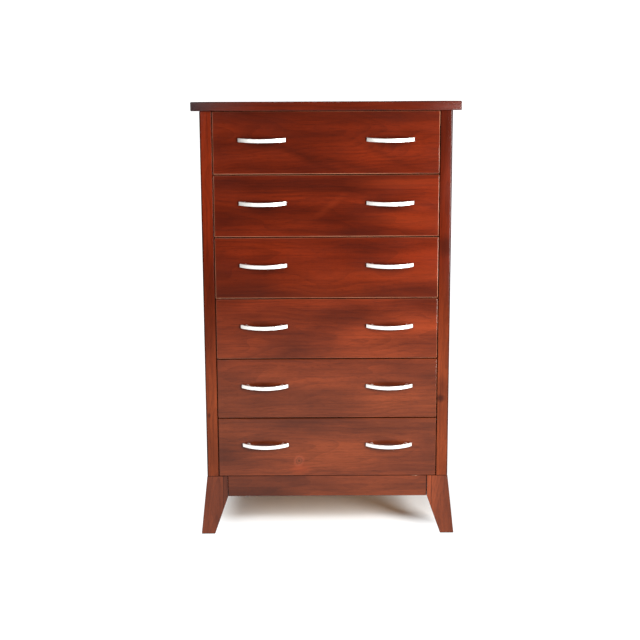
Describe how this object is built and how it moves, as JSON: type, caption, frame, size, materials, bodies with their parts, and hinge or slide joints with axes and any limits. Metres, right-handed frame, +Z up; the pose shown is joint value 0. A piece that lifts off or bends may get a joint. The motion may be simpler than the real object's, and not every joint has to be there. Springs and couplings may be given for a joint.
{
  "type": "tall chest of drawers",
  "caption": "Tall freestanding chest of drawers in red-brown stained wood, with an overhanging top, full-width inset drawers with bow pulls, and short splayed tapered legs.",
  "frame": {"origin": "on the floor, under the middle of the overall box", "axes": "+Z up, -Y towards the front, where the drawers open, +X to the right of a person facing the front"},
  "size_m": [0.714, 0.4574, 1.2],
  "materials": {
    "red_brown_stained_wood": "semi-gloss lacquer over a red-brown stain",
    "pale_drawer_wood": "bare, sanded",
    "drawer_bottom_plywood": "bare, sanded",
    "satin_nickel_metal": "satin plated"
  },
  "bodies": {
    "carcass": {"top_panel": "red_brown_stained_wood", "left_side_panel": "red_brown_stained_wood", "right_side_panel": "red_brown_stained_wood", "back_panel": "drawer_bottom_plywood", "bottom_panel": "pale_drawer_wood", "dust_panel_1": "pale_drawer_wood", "dust_panel_2": "pale_drawer_wood", "dust_panel_3": "pale_drawer_wood", "dust_panel_4": "pale_drawer_wood", "dust_panel_5": "pale_drawer_wood", "front_left_leg": "red_brown_stained_wood", "front_right_leg": "red_brown_stained_wood", "rear_left_leg": "red_brown_stained_wood", "rear_right_leg": "red_brown_stained_wood", "front_apron": "red_brown_stained_wood", "rear_apron": "red_brown_stained_wood", "left_apron": "red_brown_stained_wood", "right_apron": "red_brown_stained_wood"},
    "drawer_1": {"drawer_1_front": "red_brown_stained_wood", "drawer_1_left_side": "pale_drawer_wood", "drawer_1_right_side": "pale_drawer_wood", "drawer_1_back": "pale_drawer_wood", "drawer_1_bottom": "drawer_bottom_plywood", "drawer_1_left_pull": "satin_nickel_metal", "drawer_1_right_pull": "satin_nickel_metal"},
    "drawer_2": {"drawer_2_front": "red_brown_stained_wood", "drawer_2_left_side": "pale_drawer_wood", "drawer_2_right_side": "pale_drawer_wood", "drawer_2_back": "pale_drawer_wood", "drawer_2_bottom": "drawer_bottom_plywood", "drawer_2_left_pull": "satin_nickel_metal", "drawer_2_right_pull": "satin_nickel_metal"},
    "drawer_3": {"drawer_3_front": "red_brown_stained_wood", "drawer_3_left_side": "pale_drawer_wood", "drawer_3_right_side": "pale_drawer_wood", "drawer_3_back": "pale_drawer_wood", "drawer_3_bottom": "drawer_bottom_plywood", "drawer_3_left_pull": "satin_nickel_metal", "drawer_3_right_pull": "satin_nickel_metal"},
    "drawer_4": {"drawer_4_front": "red_brown_stained_wood", "drawer_4_left_side": "pale_drawer_wood", "drawer_4_right_side": "pale_drawer_wood", "drawer_4_back": "pale_drawer_wood", "drawer_4_bottom": "drawer_bottom_plywood", "drawer_4_left_pull": "satin_nickel_metal", "drawer_4_right_pull": "satin_nickel_metal"},
    "drawer_5": {"drawer_5_front": "red_brown_stained_wood", "drawer_5_left_side": "pale_drawer_wood", "drawer_5_right_side": "pale_drawer_wood", "drawer_5_back": "pale_drawer_wood", "drawer_5_bottom": "drawer_bottom_plywood", "drawer_5_left_pull": "satin_nickel_metal", "drawer_5_right_pull": "satin_nickel_metal"},
    "drawer_6": {"drawer_6_front": "red_brown_stained_wood", "drawer_6_left_side": "pale_drawer_wood", "drawer_6_right_side": "pale_drawer_wood", "drawer_6_back": "pale_drawer_wood", "drawer_6_bottom": "drawer_bottom_plywood", "drawer_6_left_pull": "satin_nickel_metal", "drawer_6_right_pull": "satin_nickel_metal"}
  },
  "joints": [
    {"name": "drawer_1_slide", "type": "slide", "parent": "carcass", "child": "drawer_1", "axis": [0, -1, 0], "range_m": [0, 0.3]},
    {"name": "drawer_2_slide", "type": "slide", "parent": "carcass", "child": "drawer_2", "axis": [0, -1, 0], "range_m": [0, 0.3]},
    {"name": "drawer_3_slide", "type": "slide", "parent": "carcass", "child": "drawer_3", "axis": [0, -1, 0], "range_m": [0, 0.3]},
    {"name": "drawer_4_slide", "type": "slide", "parent": "carcass", "child": "drawer_4", "axis": [0, -1, 0], "range_m": [0, 0.3]},
    {"name": "drawer_5_slide", "type": "slide", "parent": "carcass", "child": "drawer_5", "axis": [0, -1, 0], "range_m": [0, 0.3]},
    {"name": "drawer_6_slide", "type": "slide", "parent": "carcass", "child": "drawer_6", "axis": [0, -1, 0], "range_m": [0, 0.3]}
  ]
}
